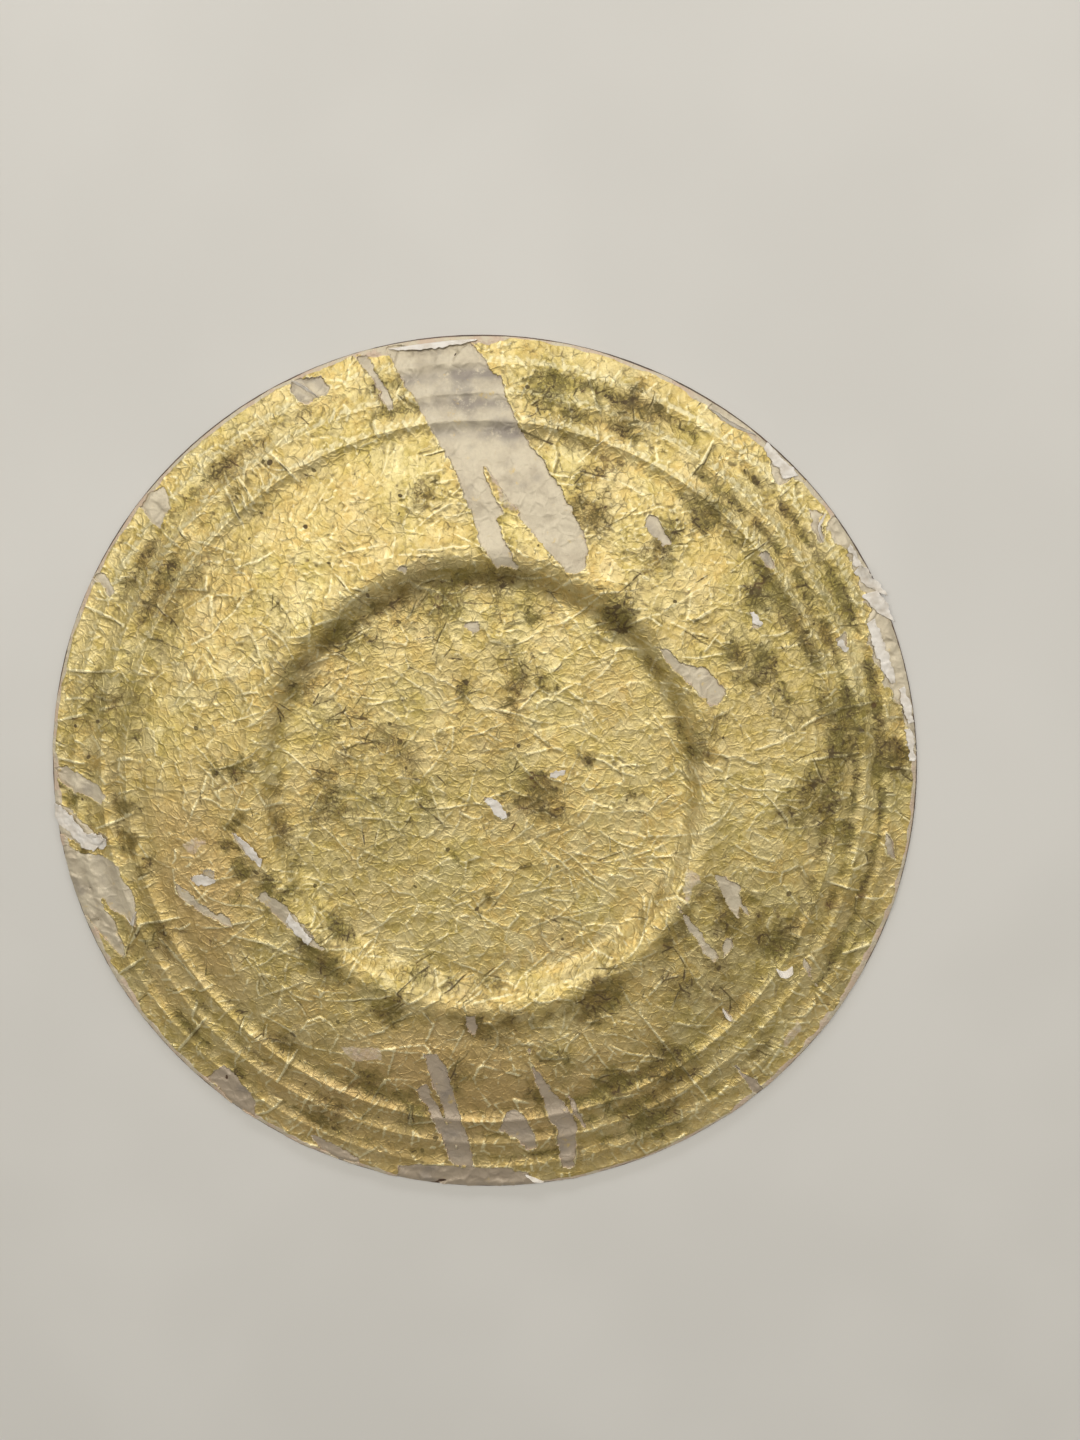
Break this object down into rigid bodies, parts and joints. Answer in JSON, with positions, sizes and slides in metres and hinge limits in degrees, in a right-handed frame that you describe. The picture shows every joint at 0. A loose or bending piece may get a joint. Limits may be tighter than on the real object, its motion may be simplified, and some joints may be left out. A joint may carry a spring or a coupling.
{
  "type": "decorative charger plate",
  "caption": "Round shallow domed display plate with a recessed centre, a fluted rim and a torn crinkled gold paper face over white lining paper.",
  "frame": {"origin": "centre of the seat under the rim, on the surface that the plate lies on", "axes": "+Z is the plate's axis and points out of the papered face, +X is the plate's right and +Y its top as it is displayed"},
  "size_m": [0.33, 0.33, 0.0113],
  "materials": {
    "core": "moulded wood-fibre board, dark brown satin lacquer",
    "lining_paper": "white tissue with grey stains, matte",
    "gold_paper": "crinkled antique gold metallic tissue with olive-brown patina, semi-gloss"
  },
  "bodies": {
    "root": {"plate_core": "core", "lining_paper": "lining_paper", "gold_paper": "gold_paper"}
  },
  "joints": []
}
